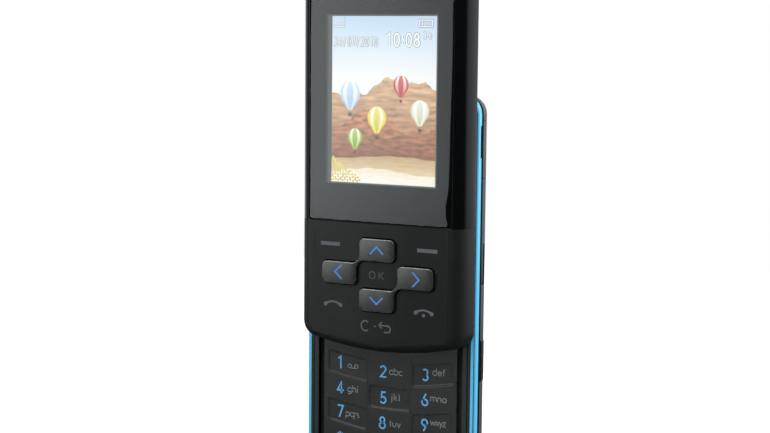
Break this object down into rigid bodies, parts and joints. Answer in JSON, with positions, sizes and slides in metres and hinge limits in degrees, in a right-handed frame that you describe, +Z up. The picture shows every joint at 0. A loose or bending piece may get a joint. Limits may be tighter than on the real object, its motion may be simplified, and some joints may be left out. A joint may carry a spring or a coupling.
{
  "type": "slider phone",
  "caption": "Slider phone standing on its lower end, front half with the display slid up off a keypad half with a blue trim edge.",
  "frame": {"origin": "middle of the box around the phone, at its lower end, with the slider pushed up", "axes": "+Z up along the phone, -Y to the front (display and keys), +X to the right of someone who faces the keys"},
  "size_m": [0.0486, 0.0156, 0.1309],
  "materials": {
    "soft_touch_black": "soft matte lacquer over moulded plastic",
    "slider_back_black": "fine moulded grain, satin",
    "window_glass": "clear acrylic window, polished, dark printed border behind it",
    "camera_glass": "clear acrylic disc, polished",
    "display_panel": "display glass, lit picture",
    "grille_metal": "punched sheet, dark",
    "dark_plastic": "moulded, satin",
    "function_key_black": "soft matte lacquer, printed marks",
    "nav_key_grey": "glossy dark grey moulding",
    "keypad_black": "satin film over key tops, printed marks",
    "rubber_black": "moulded silicone rubber",
    "circuit_board": "lacquered circuit board",
    "sheet_steel": "rolled stainless sheet",
    "screw_steel": "blackened steel",
    "amber_film": "thin film cable",
    "blue_trim": "satin metallic blue lacquer",
    "battery_wrap": "printed wrap film",
    "rear_case_grey": "satin moulded plastic",
    "side_key_black": "satin moulded plastic"
  },
  "bodies": {
    "base": {"base_front_case": "soft_touch_black", "trim_ring": "blue_trim", "rear_case": "rear_case_grey", "keypad_sheet": "rubber_black", "key_dome_sheet": "sheet_steel", "main_board": "circuit_board", "shield_can": "sheet_steel", "camera_module": "dark_plastic", "camera_window": "camera_glass", "loudspeaker": "dark_plastic", "vibration_motor": "sheet_steel", "antenna_carrier": "dark_plastic", "microphone": "sheet_steel", "charging_connector": "sheet_steel", "battery": "battery_wrap", "card_holder": "sheet_steel", "base_screw_1": "screw_steel", "base_screw_2": "screw_steel", "base_screw_3": "screw_steel", "base_screw_4": "screw_steel", "fixed_slide_plate": "sheet_steel", "flex_cable": "amber_film", "slide_spring": "sheet_steel"},
    "slider": {"slider_front_case": "soft_touch_black", "display_window": "window_glass", "earpiece_grille": "grille_metal", "display_module": "display_panel", "earpiece_receiver": "dark_plastic", "function_key_sheet": "rubber_black", "function_board": "circuit_board", "slider_rear_case": "slider_back_black", "moving_slide_plate": "sheet_steel", "slider_screw_1": "screw_steel", "slider_screw_2": "screw_steel"},
    "soft_key_left_body": {"soft_key_left": "function_key_black"},
    "soft_key_right_body": {"soft_key_right": "function_key_black"},
    "send_key_body": {"send_key": "function_key_black"},
    "end_key_body": {"end_key": "function_key_black"},
    "clear_key_body": {"clear_key": "function_key_black"},
    "ok_key_body": {"ok_key": "function_key_black"},
    "nav_key_up_left_body": {"nav_key_up_left": "nav_key_grey"},
    "nav_key_right_down_body": {"nav_key_right_down": "nav_key_grey"},
    "key_1_body": {"key_1": "keypad_black"},
    "key_2_body": {"key_2": "keypad_black"},
    "key_3_body": {"key_3": "keypad_black"},
    "key_4_body": {"key_4": "keypad_black"},
    "key_5_body": {"key_5": "keypad_black"},
    "key_6_body": {"key_6": "keypad_black"},
    "key_7_body": {"key_7": "keypad_black"},
    "key_8_body": {"key_8": "keypad_black"},
    "key_9_body": {"key_9": "keypad_black"},
    "key_star_body": {"key_star": "keypad_black"},
    "key_0_body": {"key_0": "keypad_black"},
    "key_hash_body": {"key_hash": "keypad_black"},
    "side_key_body": {"side_key": "side_key_black"},
    "camera_key_body": {"camera_key": "side_key_black"},
    "volume_rocker_body": {"volume_rocker": "side_key_black"},
    "port_cover_body": {"port_cover": "rear_case_grey"},
    "battery_cover_body": {"battery_cover": "rear_case_grey"}
  },
  "joints": [
    {"name": "slider_slide", "type": "slide", "parent": "base", "child": "slider", "axis": [0, 0, 1], "range_m": [-0.02935, 0], "deforming": ["slide_spring", "flex_cable"]},
    {"name": "soft_key_left_press", "type": "slide", "parent": "slider", "child": "soft_key_left_body", "axis": [0, 1, 0], "range_m": [0, 0.00025], "stiffness_N_per_m": 800, "springref_m": -0.0005},
    {"name": "soft_key_right_press", "type": "slide", "parent": "slider", "child": "soft_key_right_body", "axis": [0, 1, 0], "range_m": [0, 0.00025], "stiffness_N_per_m": 800, "springref_m": -0.0005},
    {"name": "send_key_press", "type": "slide", "parent": "slider", "child": "send_key_body", "axis": [0, 1, 0], "range_m": [0, 0.00025], "stiffness_N_per_m": 800, "springref_m": -0.0005},
    {"name": "end_key_press", "type": "slide", "parent": "slider", "child": "end_key_body", "axis": [0, 1, 0], "range_m": [0, 0.00025], "stiffness_N_per_m": 800, "springref_m": -0.0005},
    {"name": "clear_key_press", "type": "slide", "parent": "slider", "child": "clear_key_body", "axis": [0, 1, 0], "range_m": [0, 0.00025], "stiffness_N_per_m": 800, "springref_m": -0.0005},
    {"name": "ok_key_press", "type": "slide", "parent": "slider", "child": "ok_key_body", "axis": [0, 1, 0], "range_m": [0, 0.00025], "stiffness_N_per_m": 800, "springref_m": -0.0005},
    {"name": "nav_key_up_left_tilt", "type": "hinge", "parent": "slider", "child": "nav_key_up_left_body", "pos_m": [-0.0055, -0.00532, 0.0582], "axis": [-0.5029, 0, 0.8643], "range_deg": [-1.2, 1.2], "stiffness_Nm_per_rad": 0.3},
    {"name": "nav_key_right_down_tilt", "type": "hinge", "parent": "slider", "child": "nav_key_right_down_body", "pos_m": [0.0055, -0.00532, 0.0518], "axis": [-0.5029, 0, 0.8643], "range_deg": [-1.2, 1.2], "stiffness_Nm_per_rad": 0.3},
    {"name": "key_1_press", "type": "slide", "parent": "base", "child": "key_1_body", "axis": [0, 1, 0], "range_m": [0, 0.00025], "stiffness_N_per_m": 800, "springref_m": -0.0005},
    {"name": "key_2_press", "type": "slide", "parent": "base", "child": "key_2_body", "axis": [0, 1, 0], "range_m": [0, 0.00025], "stiffness_N_per_m": 800, "springref_m": -0.0005},
    {"name": "key_3_press", "type": "slide", "parent": "base", "child": "key_3_body", "axis": [0, 1, 0], "range_m": [0, 0.00025], "stiffness_N_per_m": 800, "springref_m": -0.0005},
    {"name": "key_4_press", "type": "slide", "parent": "base", "child": "key_4_body", "axis": [0, 1, 0], "range_m": [0, 0.00025], "stiffness_N_per_m": 800, "springref_m": -0.0005},
    {"name": "key_5_press", "type": "slide", "parent": "base", "child": "key_5_body", "axis": [0, 1, 0], "range_m": [0, 0.00025], "stiffness_N_per_m": 800, "springref_m": -0.0005},
    {"name": "key_6_press", "type": "slide", "parent": "base", "child": "key_6_body", "axis": [0, 1, 0], "range_m": [0, 0.00025], "stiffness_N_per_m": 800, "springref_m": -0.0005},
    {"name": "key_7_press", "type": "slide", "parent": "base", "child": "key_7_body", "axis": [0, 1, 0], "range_m": [0, 0.00025], "stiffness_N_per_m": 800, "springref_m": -0.0005},
    {"name": "key_8_press", "type": "slide", "parent": "base", "child": "key_8_body", "axis": [0, 1, 0], "range_m": [0, 0.00025], "stiffness_N_per_m": 800, "springref_m": -0.0005},
    {"name": "key_9_press", "type": "slide", "parent": "base", "child": "key_9_body", "axis": [0, 1, 0], "range_m": [0, 0.00025], "stiffness_N_per_m": 800, "springref_m": -0.0005},
    {"name": "key_star_press", "type": "slide", "parent": "base", "child": "key_star_body", "axis": [0, 1, 0], "range_m": [0, 0.00025], "stiffness_N_per_m": 800, "springref_m": -0.0005},
    {"name": "key_0_press", "type": "slide", "parent": "base", "child": "key_0_body", "axis": [0, 1, 0], "range_m": [0, 0.00025], "stiffness_N_per_m": 800, "springref_m": -0.0005},
    {"name": "key_hash_press", "type": "slide", "parent": "base", "child": "key_hash_body", "axis": [0, 1, 0], "range_m": [0, 0.00025], "stiffness_N_per_m": 800, "springref_m": -0.0005},
    {"name": "side_key_press", "type": "slide", "parent": "base", "child": "side_key_body", "axis": [-1, 0, 0], "range_m": [0, 0.00025], "stiffness_N_per_m": 800, "springref_m": -0.0005},
    {"name": "camera_key_press", "type": "slide", "parent": "base", "child": "camera_key_body", "axis": [-1, 0, 0], "range_m": [0, 0.00025], "stiffness_N_per_m": 800, "springref_m": -0.0005},
    {"name": "volume_rocker_tilt", "type": "hinge", "parent": "base", "child": "volume_rocker_body", "pos_m": [-0.02155, 0.0047, 0.069], "axis": [0, 1, 0], "range_deg": [-0.8, 0.8], "stiffness_Nm_per_rad": 0.5},
    {"name": "port_cover_hinge", "type": "hinge", "parent": "base", "child": "port_cover_body", "pos_m": [0.02425, 0.0025, 0.0801], "axis": [0, 1, 0], "range_deg": [0, 80]},
    {"name": "battery_cover_hinge", "type": "hinge", "parent": "base", "child": "battery_cover_body", "pos_m": [0, 0.0078, 0.0063], "axis": [-1, 0, 0], "range_deg": [0, 40]}
  ]
}
